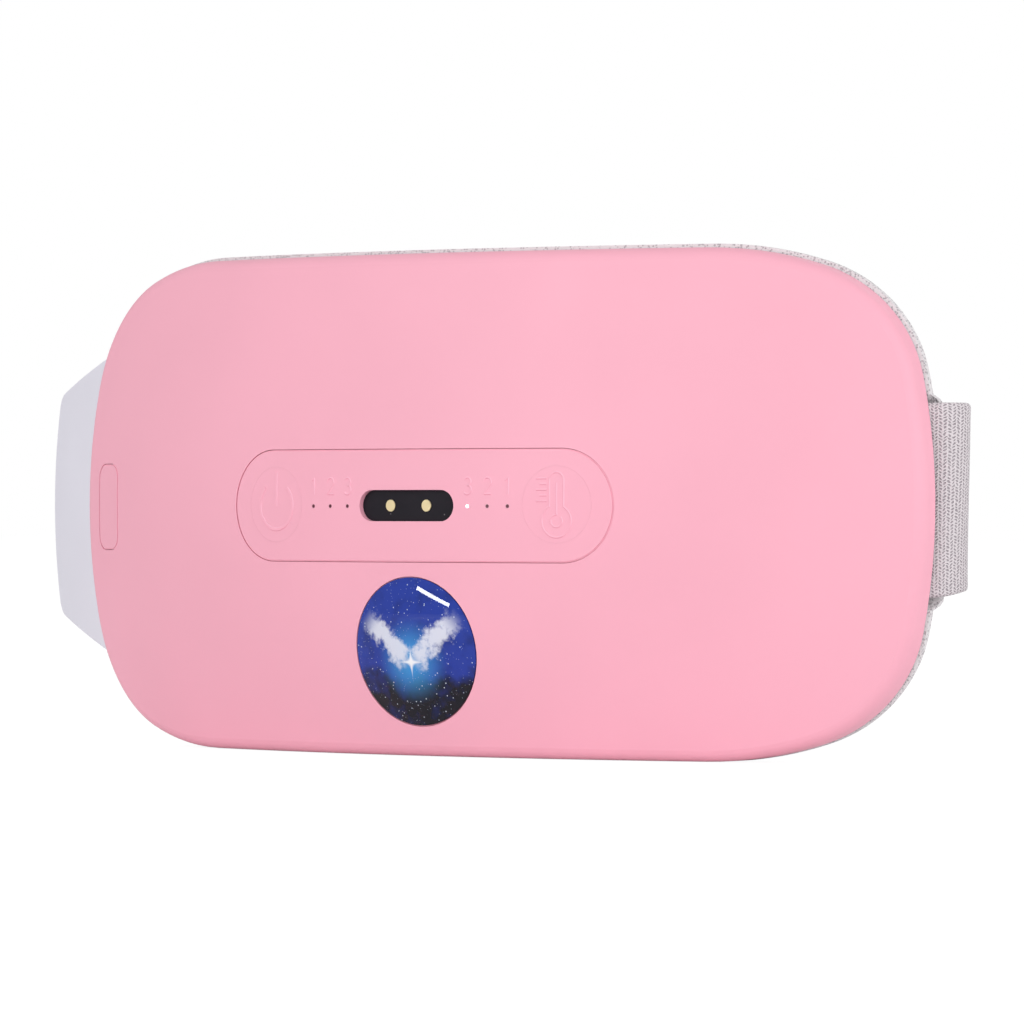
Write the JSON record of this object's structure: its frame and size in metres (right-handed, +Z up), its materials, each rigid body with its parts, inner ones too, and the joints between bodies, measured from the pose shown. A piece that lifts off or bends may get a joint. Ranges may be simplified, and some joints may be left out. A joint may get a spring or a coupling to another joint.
{
  "type": "eye massager mask",
  "caption": "Domed eye massager mask with a touch control strip, magnetic charging port, glass cabochon, face cushion, elastic strap and hook tab.",
  "frame": {"origin": "middle of the flat bottom edge of the front shell, which the mask stands on", "axes": "+X towards the strap end (right, seen from the front), the domed front faces -Y, +Z up"},
  "size_m": [0.2194, 0.0523, 0.0907],
  "materials": {
    "shell_pink": "soft satin, very slight sheen",
    "button_pink": "satin",
    "switch_dark": "moulded",
    "port_black": "satin",
    "contact_gold": "gold plated",
    "magnet_steel": "plated",
    "lens_clear": "smoked light pipe",
    "lens_lit": "lit light pipe",
    "crystal_glass": "polished",
    "night_print": "printed night-sky gradient",
    "board_green": "solder mask",
    "battery_foil": "foil pouch",
    "foam_tape": "closed-cell foam",
    "lead_red": "insulated wire",
    "motor_steel": "drawn can",
    "weight_brass": "sintered",
    "film_amber": "polyimide film",
    "cover_white": "satin",
    "screw_steel": "zinc plated",
    "cushion_fabric": "fine knit over foam",
    "hook_tape": "hook tape",
    "strap_elastic": "woven elastic",
    "tab_smooth": "smooth coated tape"
  },
  "bodies": {
    "housing": {"front_shell": "shell_pink", "control_strip": "shell_pink", "side_switch": "switch_dark", "port_plate": "port_black", "port_contacts": "contact_gold", "port_magnets": "magnet_steel", "led_windows": "lens_clear", "led_window_lit": "lens_lit", "crystal_dome": "crystal_glass", "crystal_backing": "night_print", "main_board": "board_green", "board_chips": "switch_dark", "tact_switches": "switch_dark", "led_chips": "lens_clear", "battery": "battery_foil", "battery_tape": "foam_tape", "battery_leads": "lead_red", "motor_left": "motor_steel", "motor_right": "motor_steel", "motor_leads": "lead_red", "heating_films": "film_amber", "temperature_sensor": "switch_dark", "back_cover": "cover_white", "housing_screws": "screw_steel", "face_cushion": "cushion_fabric", "cushion_tapes": "hook_tape", "strap": "strap_elastic", "strap_clamp": "screw_steel", "strap_rivets": "screw_steel", "hook_tab": "tab_smooth", "hook_patch": "hook_tape", "tab_clamp": "screw_steel", "tab_rivets": "screw_steel"},
    "power_key": {"power_key": "shell_pink"},
    "heat_key": {"heat_key": "shell_pink"},
    "side_button": {"side_button": "button_pink"},
    "rotor_left": {"motor_shaft_left": "motor_steel", "motor_weight_left": "weight_brass"},
    "rotor_right": {"motor_shaft_right": "motor_steel", "motor_weight_right": "weight_brass"}
  },
  "joints": [
    {"name": "power_key_press", "type": "slide", "parent": "housing", "child": "power_key", "axis": [0, 1, 0], "range_m": [0, 0.00035], "stiffness_N_per_m": 900},
    {"name": "heat_key_press", "type": "slide", "parent": "housing", "child": "heat_key", "axis": [0, 1, 0], "range_m": [0, 0.00035], "stiffness_N_per_m": 900},
    {"name": "side_button_press", "type": "slide", "parent": "housing", "child": "side_button", "axis": [0.4205, 0.9073, 0.0022], "range_m": [0, 0.0003], "stiffness_N_per_m": 900},
    {"name": "motor_left_spin", "type": "hinge", "parent": "housing", "child": "rotor_left", "pos_m": [-0.05, 0.00404, 0.045], "axis": [0, 0, 1], "continuous": true},
    {"name": "motor_right_spin", "type": "hinge", "parent": "housing", "child": "rotor_right", "pos_m": [0.05, 0.00404, 0.045], "axis": [0, 0, 1], "continuous": true}
  ]
}
